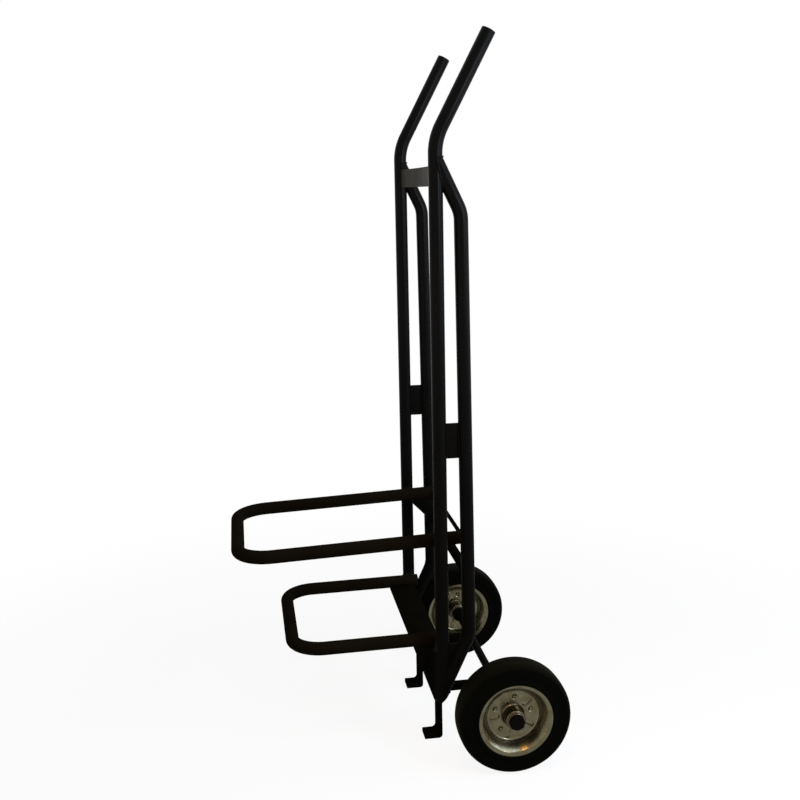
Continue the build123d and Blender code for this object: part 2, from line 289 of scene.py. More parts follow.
def once_round(steps):
    """Cosine and sine at even steps from the start of a turn to its end."""
    return [(cos(2 * pi * step / steps), sin(2 * pi * step / steps)) for step in range(steps + 1)]


def oval_seam(x, meeting_z, branch):
    """Where a tube leaves an upright one of its size: half an oval in each plane that halves the angle."""
    up = Vector((0, 0, 1))
    meeting = Vector((x, 0, meeting_z))
    points = []
    for across, along in once_round(96):
        halving = (branch - up if along >= 0 else branch + up).normalized()
        reach = tube_radius / halving.cross(up).length
        points.append(meeting + Vector((tube_radius * across, 0, 0)) + halving * reach * abs(along))
    return points


for side, sign in SIDES:
    x = sign * main_x
    head = Vector((x, 0, brace_z))
    top = Vector((x, *rear_top))
    low = Vector((x, *rear_low))
    foot = Vector((x, 0, rear_foot_z))
    bm = bmesh.new()
    bent_tube(bm, [head, top, low, foot], rear_bend_radius, tube_radius, tube_bore)
    add_piece(bm, f"tube_rear_{side}", black_enamel, [f"rear_tube_{side}"])
    bm = bmesh.new()
    weld_bead(bm, oval_seam(x, brace_z, (top - head).normalized()), bead_radius)
    weld_bead(bm, oval_seam(x, rear_foot_z, (low - foot).normalized()), bead_radius)
    add_piece(bm, f"weld_rear_tube_{side}", black_enamel)


# Web plates: a short piece of 5 mm steel flat bar in each side frame, half way up.
# Each stands between the main and the rear tube, with a fillet weld down both faces at either end.
web_top = 653.0
web_height = 65.0
web_thickness = 5.0
bite = 1.0  # how far a welded piece reaches into its neighbour
bead_stand = 0.9  # from a plate's face to the middle of its bead
bead_inset = 2.0  # from a plate's end to the end of its bead


def rear_y(z):
    """How far the rear tube's axis stands behind the main tube's at a height on its long run."""
    share = (rear_top[1] - z) / (rear_top[1] - rear_low[1])
    return rear_top[0] + share * (rear_low[0] - rear_top[0])


def flat_bar(bm, low_corner, high_corner, edge):
    """A block of flat bar between two corners, its arrises broken."""
    low_corner = Vector(low_corner)
    high_corner = Vector(high_corner)
    size = high_corner - low_corner
    place = Matrix.Translation((low_corner + high_corner) / 2) @ Matrix.Diagonal((*size, 1))
    verts = bmesh.ops.create_cube(bm, size=1, matrix=place)["verts"]
    rounded(bm, list({line for vert in verts for line in vert.link_edges}), edge, segments=3)


web_low = web_top - web_height
inner_line = tube_radius - bite
web_back = rear_y(web_top - web_height / 2) - inner_line
half = web_thickness / 2
for side, sign in SIDES:
    x = sign * main_x
    bm = bmesh.new()
    flat_bar(bm, (x - half, inner_line, web_low), (x + half, web_back, web_top), edge=0.7)
    add_piece(bm, f"plate_web_{side}", black_enamel, [f"web_plate_{side}"])
    bm = bmesh.new()
    for bead_x in (x - half - bead_stand, x + half + bead_stand):
        for bead_y in (inner_line + bite, web_back - bite):
            ends = [(bead_x, bead_y, web_low + bead_inset), (bead_x, bead_y, web_top - bead_inset)]
            weld_bead(bm, ends, bead_radius)
    add_piece(bm, f"weld_web_plate_{side}", black_enamel)


# Foot gusset: a three-cornered piece of 4 mm steel plate that fills the V at the foot of the left frame.
# Its two lower edges are welded to the main and the rear tube, and its top edge is left as sheared.
gusset_thickness = 4.0
foot_gusset_top = 229.5
thin_bead = 1.8


def drawn_out(bm, faces, step):
    """Draw flat faces out to a solid, and return the corners that moved."""
    made = bmesh.ops.extrude_face_region(bm, geom=faces)["geom"]
    moved = [item for item in made if isinstance(item, bmesh.types.BMVert)]
    bmesh.ops.translate(bm, verts=moved, vec=step)
    return moved


def plate_blank(bm, outline, thickness, x):
    """Plate drawn in y and z with its thickness across x; its corners are returned."""
    corners = [bm.verts.new((x - thickness / 2, y, z)) for y, z in outline]
    return corners + drawn_out(bm, [bm.faces.new(corners)], (thickness, 0, 0))


def plate_across(bm, outline, thickness, x, edge):
    """The same plate with its arrises broken."""
    corners = plate_blank(bm, outline, thickness, x)
    rounded(bm, list({line for vert in corners for line in vert.link_edges}), edge, segments=2)


slope = Vector((rear_low[0], rear_low[1] - rear_foot_z)).normalized()
inset_y = inner_line / slope.y
gusset_low = rear_foot_z + (inner_line + inset_y) * slope.y / slope.x
gusset_back = (foot_gusset_top - rear_foot_z) * slope.x / slope.y - inset_y
gusset_outline = [(inner_line, gusset_low), (gusset_back, foot_gusset_top), (inner_line, foot_gusset_top)]
bm = bmesh.new()
plate_across(bm, gusset_outline, gusset_thickness, main_x, edge=0.6)
add_piece(bm, "plate_foot_gusset", black_enamel, ["foot_gusset"])
bm = bmesh.new()
for face in (-1, 1):
    bead_x = main_x + face * (gusset_thickness / 2 + bead_stand)
    bead_top = foot_gusset_top - bead_inset
    low_point = (bead_x, inner_line + bite, gusset_low + 6)
    weld_bead(bm, [low_point, (bead_x, inner_line + bite, bead_top)], thin_bead)
    weld_bead(bm, [low_point, (bead_x, gusset_back - bead_radius, bead_top)], thin_bead)
add_piece(bm, "weld_foot_gusset", black_enamel)


# Handle strap: a 36 by 4 mm flat bar, bowed backwards, that holds the main tubes apart below the handles.
# Its ends butt against the tubes and are welded down the front and the back.
strap_middle_z = 1091.0
strap_height = 36.0
strap_thickness = 4.0
strap_front = -2.0
strap_sag = 8.0
strap_bays = 24
seam_stand = 0.6  # from a seam to the middle of its bead
small_bead = 1.4
# The strap's lighter brown film is a painted reflection of warm light caught by its front face; it is dull
# too.
enamel_with_painted_reflection = sprayed_enamel(
    "black_enamel_with_painted_warm_reflection", thin="#1a160e", thick="#221d13",
    smoothest=0.46, roughest=0.56, level=0.03)
strap_half = main_x - inner_line
strap_low = strap_middle_z - strap_height / 2
strap_high = strap_middle_z + strap_height / 2
strap_back = strap_front + strap_thickness
bm = bmesh.new()
flat_bar(bm, (-strap_half, strap_front, strap_low), (strap_half, strap_back, strap_high), edge=0.9)
for cut in range(1, strap_bays):
    bmesh.ops.bisect_plane(
        bm, geom=bm.verts[:] + bm.edges[:] + bm.faces[:], dist=0.001,
        plane_co=(strap_half * (2 * cut / strap_bays - 1), 0, 0), plane_no=(1, 0, 0))
for vert in bm.verts:
    vert.co.y += strap_sag * (1 - (vert.co.x / strap_half) ** 2)
add_piece(bm, "strap_handle", enamel_with_painted_reflection, ["handle_strap"])
bm = bmesh.new()
for sign in (1, -1):
    for bead_y in (strap_front - seam_stand, strap_back + seam_stand):
        bead_x = sign * (main_x - sqrt(tube_radius**2 - bead_y**2))
        weld_bead(bm, [(bead_x, bead_y, strap_low + 1.5), (bead_x, bead_y, strap_high - 1.5)], small_bead)
add_piece(bm, "weld_handle_strap", black_enamel)


# Upper fork: one tube bent to a U that carries the stack, its tails reaching back to the rear tubes.
# It droops a little towards the nose. Short round spacers join it to the main tubes on either side,
# and two more of them do the same for the lower fork.
fork_x = 157.0
upper_fork_z = 421.5
upper_fork_reach = 371.0
upper_fork_tail = 64.0
upper_fork_droop = radians(2.1)
upper_corner_radius = 62.0
lower_fork_z = 225.0
spacer_radius = 9.0


def drooped(bm, droop, z):
    """Turn what is drawn flat about the line where it crosses the main tubes, and lift it to its height."""
    bmesh.ops.rotate(bm, verts=bm.verts, matrix=Matrix.Rotation(droop, 3, "X"))
    bmesh.ops.translate(bm, verts=bm.verts, vec=(0, 0, z))


def bent_fork(bm, reach, tail, corner_radius):
    """A U of tube, drawn flat."""
    corners = [(-fork_x, tail, 0), (-fork_x, -reach, 0), (fork_x, -reach, 0), (fork_x, tail, 0)]
    bent_tube(bm, corners, corner_radius, tube_radius, tube_bore)


def turned_bar(bm, outline, y, z, steps):
    """A closed outline of distances along x and radii, spun round a line parallel to x."""
    corners = [bm.verts.new((x, y, z + radius)) for x, radius in outline]
    edges = [bm.edges.new(pair) for pair in zip(corners, corners[1:] + corners[:1])]
    bmesh.ops.spin(bm, geom=edges, cent=(0, y, z), axis=(1, 0, 0), angle=2 * pi, steps=steps, use_merge=True)


def round_bar(bm, radius, half_length, y, z, edge=0.6, steps=32, middle=0):
    """A solid round bar parallel to x with broken edges."""
    x_low = middle - half_length
    x_high = middle + half_length
    outline = [(x_low, 0), (x_low, radius - edge), (x_low + edge, radius), (x_high - edge, radius)]
    outline += [(x_high, radius - edge), (x_high, 0)]
    turned_bar(bm, outline, y, z, steps)


def saddle(radius, surface_x, tube_along_z, y, z):
    """The line where a round bar parallel to x runs into the side of a tube of the frame."""
    points = []
    for across, along in once_round(48):
        aside = radius * (across if tube_along_z else along)
        x = surface_x(sqrt(tube_radius**2 - aside**2))
        points.append((x, y + radius * across, z + radius * along))
    return points


# The chairs slide on the forks and leave their paint dull. Its brownish film, also seen along the tube,
# is partly that wear and partly painted warm light reflected from in front and below.
worn_enamel_with_painted_warm_light = sprayed_enamel(
    "black_enamel_worn_with_painted_warm_light", thin="#0b0906", thick="#130f09",
    smoothest=0.62, roughest=0.78, level=0.006)
bm = bmesh.new()
bent_fork(bm, upper_fork_reach, upper_fork_tail, upper_corner_radius)
drooped(bm, upper_fork_droop, upper_fork_z)
add_piece(bm, "fork_upper", worn_enamel_with_painted_warm_light, ["upper_fork"])

spacer_middle = (fork_x + main_x) / 2
spacer_half = (main_x - fork_x) / 2 - inner_line
seam_radius = spacer_radius + seam_stand
bm = bmesh.new()
welds = bmesh.new()
for sign in (1, -1):
    for z in (upper_fork_z, lower_fork_z):
        round_bar(bm, spacer_radius, spacer_half, 0, z, middle=sign * spacer_middle)
        weld_bead(welds, saddle(seam_radius, lambda depth: sign * (main_x - depth), True, 0, z), thin_bead)
        weld_bead(welds, saddle(seam_radius, lambda depth: sign * (fork_x + depth), False, 0, z), thin_bead)
add_piece(bm, "spacers_fork", black_enamel, ["fork_spacers"])
add_piece(welds, "weld_fork_spacers", black_enamel)


# Tie rod and rear cross tube: an 8 mm rod through the upper fork's tails, and a 19 mm tube below it.
# Both run from one rear tube to the other and are welded all round where they meet them.
rod_radius = 4.0
rod_y = rear_y(upper_fork_z)
rod_z = upper_fork_z + rod_y * tan(upper_fork_droop)
cross_tube_radius = 9.5
cross_tube_z = 365.0
cross_tube_y = rear_y(cross_tube_z)
reach_x = main_x - inner_line
fillet_bead = 1.9
# Low down and inside the frame the spray reached less well, so the film there is thin and dull.
dull_enamel = sprayed_enamel(
    "black_enamel_sprayed_thin_and_dull", thin="#050503", thick="#090805",
    smoothest=0.7, roughest=0.85, level=0.003)
bm = bmesh.new()
round_bar(bm, rod_radius, reach_x, rod_y, rod_z, edge=0.4, steps=24)
add_piece(bm, "rod_tie", dull_enamel, ["fork_tie_rod"])
bm = bmesh.new()
round_bar(bm, cross_tube_radius, reach_x, cross_tube_y, cross_tube_z, steps=40)
add_piece(bm, "tube_rear_cross", dull_enamel, ["rear_cross_tube"])
bm = bmesh.new()
rod_seam = (rod_radius + 0.5, rod_y, rod_z, small_bead)
cross_tube_seam = (cross_tube_radius + seam_stand, cross_tube_y, cross_tube_z, fillet_bead)
for sign in (1, -1):
    for radius, y, z, bead in (rod_seam, cross_tube_seam):
        weld_bead(bm, saddle(radius, lambda depth: sign * (main_x - depth), True, y, z), bead)
add_piece(bm, "weld_cross_members", black_enamel)


# Fork gusset: one 5 mm steel plate under the right tail of the upper fork, down to the rear cross tube.
# It is welded along the fork's underside and round the cross tube.
fork_gusset_thickness = 5.0
gusset_x = -fork_x
gusset_front_y = 6.0
gusset_back_y = 60.0
gusset_bead = 1.6
under_fork = upper_fork_z - tube_radius
fork_gusset_outline = [
    (gusset_front_y, under_fork + bite),
    (gusset_front_y, under_fork - 9.0),
    (33.0, cross_tube_z + 7.0),
    (cross_tube_y - 8.6, cross_tube_z + 1.0),
    (cross_tube_y + 8.6, cross_tube_z + 1.0),
    (gusset_back_y, cross_tube_z + 4.0),
    (gusset_back_y, under_fork + bite + 2.0),
]
bm = bmesh.new()
plate_across(bm, fork_gusset_outline, fork_gusset_thickness, gusset_x, edge=0.7)
add_piece(bm, "plate_fork_gusset", black_enamel, ["fork_gusset"])
fork_line = [(gusset_front_y + 2, under_fork + seam_stand), (gusset_back_y - 2, under_fork + 2.4)]
cross_tube_line = [
    (cross_tube_y - 9, cross_tube_z + 3), (cross_tube_y, cross_tube_z + 10.2),
    (cross_tube_y + 9, cross_tube_z + 3)]
bm = bmesh.new()
for face in (-1, 1):
    bead_x = gusset_x + face * (fork_gusset_thickness / 2 + 0.7)
    for line, bead in ((fork_line, fillet_bead), (cross_tube_line, gusset_bead)):
        weld_bead(bm, [(bead_x, y, z) for y, z in line], bead)
add_piece(bm, "weld_fork_gusset", black_enamel)


# Lower fork and its shelf: a shorter U of the same tube, with a 4 mm plate between its arms.
# The plate lies level with the underside of the arms and is stitched to them along its ends.
lower_fork_reach = 276.0
lower_fork_droop = radians(0.7)
lower_corner_radius = 58.0
shelf_front = -50.0
shelf_back = 5.0
shelf_thickness = 4.0
stitch_bead = 2.0
shelf_top = shelf_thickness - tube_radius
shelf_half = fork_x - sqrt(tube_radius**2 - shelf_top**2)
shelf_reach = shelf_half + bite
bm = bmesh.new()
bent_fork(bm, lower_fork_reach, tube_radius, lower_corner_radius)
drooped(bm, lower_fork_droop, lower_fork_z)
add_piece(bm, "fork_lower", worn_enamel_with_painted_warm_light, ["lower_fork"])
bm = bmesh.new()
flat_bar(bm, (-shelf_reach, shelf_front, -tube_radius), (shelf_reach, shelf_back, shelf_top), edge=0.8)
drooped(bm, lower_fork_droop, lower_fork_z)
add_piece(bm, "plate_shelf", dull_enamel, ["lower_shelf"])
bm = bmesh.new()
for bead_x in (shelf_half, -shelf_half):
    for start, stop in ((shelf_front + 4, shelf_front + 20), (shelf_back - 13, shelf_back - 1)):
        weld_bead(bm, [(bead_x, start, shelf_top + 0.8), (bead_x, stop, shelf_top + 0.8)], stitch_bead)
drooped(bm, lower_fork_droop, lower_fork_z)
add_piece(bm, "weld_shelf", black_enamel)


# Foot cross bar and front plate: a 25 mm square tube between the main tubes' feet.
# A 4 mm plate stands on its front, from the bar's underside up to the lower fork. Its ends are welded
# to the main tubes inside and out, with a short bead across each top corner.
cross_bar_size = 25.0
cross_bar_wall = 2.0
cross_bar_corner = 3.0
cross_bar_low = 118.0
cross_bar_top = cross_bar_low + cross_bar_size
plate_top_z = 211.94
plate_back_y = -12.85
plate_thickness = 4.0
plate_bead = 2.6
bar_bead = 2.0


def square_tube(bm, size, wall, corner, length):
    """A length of square tube along z: a rounded square, its bore let in, drawn out to its length."""
    bmesh.ops.create_grid(bm, x_segments=1, y_segments=1, size=size / 2)
    bmesh.ops.bevel(
        bm, geom=bm.verts[:], offset=corner, segments=4, profile=0.5, affect="VERTICES", material=-1)
    wall_faces = bmesh.ops.inset_region(
        bm, faces=bm.faces[:], thickness=wall, use_even_offset=True, use_boundary=True)["faces"]
    bmesh.ops.delete(bm, geom=[face for face in bm.faces if face not in wall_faces], context="FACES_ONLY")
    drawn_out(bm, bm.faces[:], (0, 0, length))


bm = bmesh.new()
square_tube(bm, cross_bar_size, cross_bar_wall, cross_bar_corner, 2 * reach_x)
bmesh.ops.rotate(bm, verts=bm.verts, matrix=Matrix.Rotation(pi / 2, 3, "Y"))
bmesh.ops.translate(bm, verts=bm.verts, vec=(-reach_x, 0, cross_bar_low + cross_bar_size / 2))
add_piece(bm, "bar_foot_cross", black_enamel, ["foot_cross_bar"])
bm = bmesh.new()
plate_front_y = plate_back_y - plate_thickness
flat_bar(bm, (-main_x, plate_front_y, cross_bar_low), (main_x, plate_back_y, plate_top_z), edge=0.8)
add_piece(bm, "plate_front", dull_enamel, ["front_plate"])
bm = bmesh.new()
for sign in (1, -1):
    inner_seam = (sign * (main_x - 5.5), -12.3)
    weld_bead(bm, [(*inner_seam, cross_bar_top + 5), (*inner_seam, plate_top_z + 15)], plate_bead)
    outer_seam = (sign * (main_x + 1.2), -12.9)
    weld_bead(bm, [(*outer_seam, cross_bar_low + 3), (*outer_seam, plate_top_z - 1)], plate_bead)
    corner_z = plate_top_z + seam_stand
    corner_line = [(sign * (main_x - 18), -12.4, corner_z), (sign * (main_x - 1), -13.2, corner_z)]
    weld_bead(bm, corner_line, plate_bead)
    bar_end_x = sign * (main_x - tube_radius + seam_stand)
    bar_end_z = cross_bar_top + seam_stand
    weld_bead(bm, [(bar_end_x, -9, bar_end_z), (bar_end_x, 9, bar_end_z)], bar_bead)
add_piece(bm, "weld_front_plate", black_enamel)


# Feet, axle arms and sleeves: a bent flat bar hangs under the cross bar on each side to stand on.
# A 19 mm tube is welded to its back and ends, coped, on the short sleeve that holds the axle.
arm_x = 112.0
arm_radius = 9.5
arm_wall = 1.5
arm_z = 101.0
axle_y = 119.5
axle_z = 107.0
sleeve_radius = 12.0
sleeve_bore = 8.05
sleeve_half = 20.0
foot_back = 11.5
foot_thickness = 9.5
foot_toe = 36.0
foot_width = 34.0
foot_top = cross_bar_low + bite
foot_weld_half = 14.0
inner_bend_radius = 8.0
outer_bend_radius = 7.0
toe_front = foot_back - foot_toe
leg_front = foot_back - foot_thickness
foot_outline = [
    (toe_front, 0), (foot_back, 0), (foot_back, foot_top),
    (leg_front, foot_top), (leg_front, foot_thickness), (toe_front, foot_thickness)]
foot_bends = ((leg_front, foot_thickness, inner_bend_radius), (foot_back, 0, outer_bend_radius))


def sleeve_depth(radius, z):
    """How far in front of the axle's middle a sleeve of a radius reaches at a height."""
    return sqrt(max(0, radius**2 - (z - axle_z) ** 2))


def turned_ring(bm, radius, x_low, x_high, edge):
    """A ring turned and bored to sit on the axle, its outer edges broken."""
    turned_bar(bm, [
        (x_low, sleeve_bore), (x_low, radius - edge), (x_low + edge, radius),
        (x_high - edge, radius), (x_high, radius - edge), (x_high, sleeve_bore)], axle_y, axle_z, steps=48)


for side, sign in SIDES:
    x = sign * arm_x
    bm = bmesh.new()
    arm_ends = [(x, foot_back - bite, arm_z), (x, axle_y, arm_z)]
    bent_tube(bm, arm_ends, 0, arm_radius, arm_radius - arm_wall, sides=40)
    for vert in bm.verts:
        if vert.co.y > axle_y - 1:
            vert.co.y -= sleeve_depth(sleeve_radius - bite, vert.co.z)
    add_piece(bm, f"arm_axle_{side}", dull_enamel, [f"axle_arm_{side}"])

    bm = bmesh.new()
    turned_ring(bm, sleeve_radius, x - sleeve_half, x + sleeve_half, edge=0.8)
    add_piece(bm, f"sleeve_axle_{side}", black_enamel, [f"axle_sleeve_{side}"])

    bm = bmesh.new()
    plate_blank(bm, foot_outline, foot_width, x)
    for bend_y, bend_z, radius in foot_bends:
        bend = [edge for edge in bm.edges if all(
            abs(vert.co.y - bend_y) < 0.1 and abs(vert.co.z - bend_z) < 0.1 for vert in edge.verts)]
        rounded(bm, bend, radius, segments=6)
    arrises = [edge for edge in bm.edges if edge.calc_face_angle(0) > radians(40)]
    rounded(bm, arrises, offset=1.8, segments=3)
    add_piece(bm, f"foot_bar_{side}", dull_enamel, [f"foot_{side}"])

    bm = bmesh.new()
    foot_seam = []
    sleeve_seam = []
    for across, along in once_round(48):
        seam_x = x + (arm_radius + 0.4) * across
        seam_z = arm_z + (arm_radius + 0.4) * along
        foot_seam.append((seam_x, foot_back + 0.3, seam_z))
        sleeve_seam.append((seam_x, axle_y - sleeve_depth(sleeve_radius + 0.2, seam_z), seam_z))
    weld_bead(bm, foot_seam, fillet_bead)
    weld_bead(bm, sleeve_seam, fillet_bead)
    bead_z = cross_bar_low - 0.4
    for bead_y in (leg_front - seam_stand, foot_back + seam_stand):
        ends = [(x - foot_weld_half, bead_y, bead_z), (x + foot_weld_half, bead_y, bead_z)]
        weld_bead(bm, ends, bar_bead)
    add_piece(bm, f"weld_axle_arm_{side}", dull_enamel)


# Axle with its collars and caps: a 16 mm round bar, black, that stays still while the wheels turn.
# A collar on its inner side, and a washer with a push-on cap on its outer side, keep each wheel in place.
axle_half = 296.3
axle_radius = 8.0
wheel_x = 260.0
collar_radius = 14.25
collar_near = wheel_x - 40.4
collar_far = collar_near + 12.0
cap_radius = 14.25
cap_near = wheel_x + 31.05


def blackened_bar():
    """Drawn bar with a black finish: as dark as the frame, with a dull sheen in fine lines along it."""
    material, tree, place = new_material("black_finish_on_drawn_bar")
    drawn = add_node(tree, "ShaderNodeMapping", inputs={
        "Vector": place, "Scale": (1 / (30 * mm), 1 / (1.2 * mm), 1 / (1.2 * mm))})
    lines = add_node(tree, "ShaderNodeTexNoise", inputs={
        "Vector": drawn.outputs["Vector"], "Scale": 1.0, "Detail": 4.0})
    tone = add_node(tree, "ShaderNodeMix", {"data_type": "RGBA"}, {
        "Factor": lines.outputs["Fac"], "A": linear("#040403"), "B": linear("#0c0a09")})
    gloss = add_node(tree, "ShaderNodeMapRange", inputs={
        "Value": lines.outputs["Fac"], "From Min": 0.3, "From Max": 0.7, "To Min": 0.5, "To Max": 0.66})
    bump = add_node(tree, "ShaderNodeBump", inputs={
        "Strength": 0.15, "Distance": 0.3 * mm, "Height": lines.outputs["Fac"]})
    return finished(material, tree, {
        "Base Color": tone.outputs["Result"], "Roughness": gloss.outputs["Result"],
        "Normal": bump.outputs["Normal"], "IOR": 1.5, "Specular IOR Level": 0.01})


def flipped(outline, way):
    """An outline that runs one way along x, or the other for a way of -1."""
    return [(way * along, radius) for along, radius in outline]


black_bar = blackened_bar()
bm = bmesh.new()
round_bar(bm, axle_radius, axle_half, axle_y, axle_z, edge=1.0, steps=48)
add_piece(bm, "bar_axle", black_bar, ["axle"])
cap_line = [
    (cap_near, sleeve_bore), (cap_near, cap_radius), (cap_near + 4.8, cap_radius),
    (cap_near + 6.0, cap_radius - 0.5), (cap_near + 6.7, cap_radius - 1.8),
    (cap_near + 7.0, cap_radius - 3.2), (cap_near + 7.0, cap_radius - 4.2),
    (cap_near + 6.2, cap_radius - 5.2), (cap_near + 6.0, 0),
    (cap_near + 5.4, 0), (cap_near + 5.4, sleeve_bore)]
for side, sign in SIDES:
    bm = bmesh.new()
    turned_ring(bm, collar_radius, *sorted((sign * collar_near, sign * collar_far)), edge=1.0)
    add_piece(bm, f"collar_axle_{side}", black_bar, [f"axle_collar_{side}"])
    bm = bmesh.new()
    turned_bar(bm, flipped(cap_line, sign), axle_y, axle_z, steps=48)
    add_piece(bm, f"cap_axle_{side}", black_bar, [f"axle_cap_{side}"])


# Tyres: solid black rubber moulded in one piece round the rim, with a smooth crowned tread.
# The flank is let in between a ring beside the rim and the round shoulder, and the mould leaves a fine line.
tyre_bore = 58.0
tyre_flank = [
    (24.6, 64.6), (25.6, 66.6), (26.6, 70.2), (28.4, 71.2), (29.6, 72.0), (30.0, 73.0), (30.0, 75.6),
    (29.6, 76.4), (28.4, 77.0), (27.6, 78.2), (27.3, 82.0), (27.4, 87.0), (27.8, 91.0), (28.0, 93.0),
    (27.6, 94.2), (27.0, 95.4), (27.3, 96.6), (27.6, 98.0), (27.0, 99.6), (25.0, 102.0), (22.5, 104.0),
    (19.5, 105.5), (16.0, 106.4), (10.0, 106.75), (4.0, 106.9), (0.9, 106.95), (0.4, 107.0)]


def distance_from_axle(tree, place):
    """How far a point lies from the axle, for what runs in rings round the wheel."""
    about_axle = add_node(tree, "ShaderNodeMapping", inputs={
        "Vector": place, "Location": (0, -(axle_y + datum_y) * mm, -axle_z * mm), "Scale": (0, 1, 1)})
    away = add_node(tree, "ShaderNodeVectorMath", {"operation": "LENGTH"}, {0: about_axle.outputs["Vector"]})
    return away.outputs["Value"]


def moulded_rubber():
    """Moulded black rubber: matt and slightly greenish black, with a fine grain, a grey bloom in
    patches, and brown dust held on the tread, which is told from the flank by its distance from the axle."""
    material, tree, place = new_material("black_rubber_moulded")
    bloom = add_node(tree, "ShaderNodeTexNoise", inputs={
        "Vector": place, "Scale": 1 / (35 * mm), "Detail": 6.0})
    tone = add_node(tree, "ShaderNodeMix", {"data_type": "RGBA"}, {
        "Factor": bloom.outputs["Fac"], "A": linear("#020301"), "B": linear("#060704")})
    worn = add_node(tree, "ShaderNodeMapRange", inputs={
        "Value": distance_from_axle(tree, place), "From Min": 100 * mm, "From Max": 106 * mm,
        "To Min": 0.0, "To Max": 0.07})
    dusty = dusted(tree, place, tone, worn, 6 * mm, "#4d4434")
    matt = add_node(tree, "ShaderNodeMapRange", inputs={
        "Value": bloom.outputs["Fac"], "From Min": 0.3, "From Max": 0.7, "To Min": 0.6, "To Max": 0.78})
    grain = add_node(tree, "ShaderNodeTexNoise", inputs={
        "Vector": place, "Scale": 1 / (1.6 * mm), "Detail": 3.0})
    bump = add_node(tree, "ShaderNodeBump", inputs={
        "Strength": 0.25, "Distance": 0.5 * mm, "Height": grain.outputs["Fac"]})
    return finished(material, tree, {
        "Base Color": dusty.outputs["Result"], "Roughness": matt.outputs["Result"],
        "Normal": bump.outputs["Normal"], "IOR": 1.5, "Specular IOR Level": 0.007})


def turned_wheel_piece(bm, outline, x, steps):
    """A closed outline of distances from the wheel's middle and radii, spun about the axle."""
    turned_bar(bm, [(x + along, radius) for along, radius in outline], axle_y, axle_z, steps)


black_rubber = moulded_rubber()
for side, sign in SIDES:
    bm = bmesh.new()
    tyre_line = [(0, tyre_bore), *tyre_flank, *flipped(reversed(tyre_flank), -1)]
    turned_wheel_piece(bm, tyre_line, sign * wheel_x, steps=192)
    add_piece(bm, f"rubber_tyre_{side}", black_rubber, [f"tyre_{side}"], f"wheel_{side}", sharp=50)


# Rims: two pressed steel dishes back to back, riveted together and to the hub, zinc plated.
# Five ribs are pressed into the disc between the rivets, and the outer edge is turned to a flat lip.
wall_start = (4.4, 50.3)
wall_depth = 21.1
wall_flare = 0.3
back_offset = (-0.9, 1.8)
rivet_count = 5
rivet_ring = 35.5
first_rivet = 5
first_rib = 50
rib_height = 1.8
rib_width = 4.8
rib_inner = 25
rib_outer = 47
rib_run_in = 4
rib_run_out = 3
dimple_depth = 1.5
dimple_radius = 5.6
dimple_slope = 2.2


def zinc_plated(name, clean, yellowed, smoothest, roughest):
    """Zinc plate on steel: dull grey with a yellow cast in patches, fine rings left by the tool,
    and a painted highlight: a lighter ring in the corner where a dish turns into its wall."""
    material, tree, place = new_material(name)
    away = distance_from_axle(tree, place)
    rings = add_node(tree, "ShaderNodeMath", {"operation": "MULTIPLY"}, {0: away, 1: 1 / (1.1 * mm)})
    ring_place = add_node(tree, "ShaderNodeCombineXYZ", inputs={"X": rings.outputs[0]})
    ring_noise = add_node(tree, "ShaderNodeTexNoise", inputs={
        "Vector": ring_place.outputs["Vector"], "Scale": 1.0, "Detail": 3.0})
    patch = add_node(tree, "ShaderNodeTexNoise", inputs={
        "Vector": place, "Scale": 1 / (22 * mm), "Detail": 5.0})
    cast = add_node(tree, "ShaderNodeMapRange", inputs={
        "Value": patch.outputs["Fac"], "From Min": 0.38, "From Max": 0.66})
    tone = add_node(tree, "ShaderNodeMix", {"data_type": "RGBA"}, {
        "Factor": cast.outputs["Result"], "A": linear(clean), "B": linear(yellowed)})
    fleck = add_node(tree, "ShaderNodeTexVoronoi", inputs={"Vector": place, "Scale": 1 / (3.5 * mm)})
    spangle = add_node(tree, "ShaderNodeSeparateColor", inputs={"Color": fleck.outputs["Color"]})
    flecked = add_node(tree, "ShaderNodeMix", {"data_type": "RGBA", "blend_type": "MULTIPLY"}, {
        "Factor": 0.16, "A": tone.outputs["Result"], "B": spangle.outputs["Red"]})
    # Painted highlight: the corner ring is mixed towards a light zinc colour to stand in for light reflected
    # there.
    corner = add_node(tree, "ShaderNodeMapRange", {"interpolation_type": "SMOOTHSTEP"}, {
        "Value": away, "From Min": 47.5 * mm, "From Max": 50.5 * mm})
    highlight_outer_edge = add_node(tree, "ShaderNodeMapRange", {"interpolation_type": "SMOOTHSTEP"}, {
        "Value": away, "From Min": 53 * mm, "From Max": 57 * mm, "To Min": 1.0, "To Max": 0.0})
    held = add_node(tree, "ShaderNodeMath", {"operation": "MULTIPLY"}, {
        0: corner.outputs["Result"], 1: highlight_outer_edge.outputs["Result"]})
    thick = add_node(tree, "ShaderNodeMath", {"operation": "MULTIPLY"}, {0: held.outputs[0], 1: 0.3})
    tone_with_painted_highlight = add_node(tree, "ShaderNodeMix", {"data_type": "RGBA"}, {
        "Factor": thick.outputs[0], "A": flecked.outputs["Result"], "B": linear("#a39e88")})
    gloss = add_node(tree, "ShaderNodeMapRange", inputs={
        "Value": patch.outputs["Fac"], "From Min": 0.3, "From Max": 0.7,
        "To Min": smoothest, "To Max": roughest})
    bump = add_node(tree, "ShaderNodeBump", inputs={
        "Strength": 0.2, "Distance": 0.4 * mm, "Height": ring_noise.outputs["Fac"]})
    return finished(material, tree, {
        "Base Color": tone_with_painted_highlight.outputs["Result"], "Metallic": 1.0, "Roughness": gloss.outputs["Result"],
        "Normal": bump.outputs["Normal"]})


def spoke(first, index):
    """The way out from the axle to one of five like places round the wheel."""
    turn = radians(first + index * 360 / rivet_count)
    return Vector((0, sin(turn), cos(turn)))


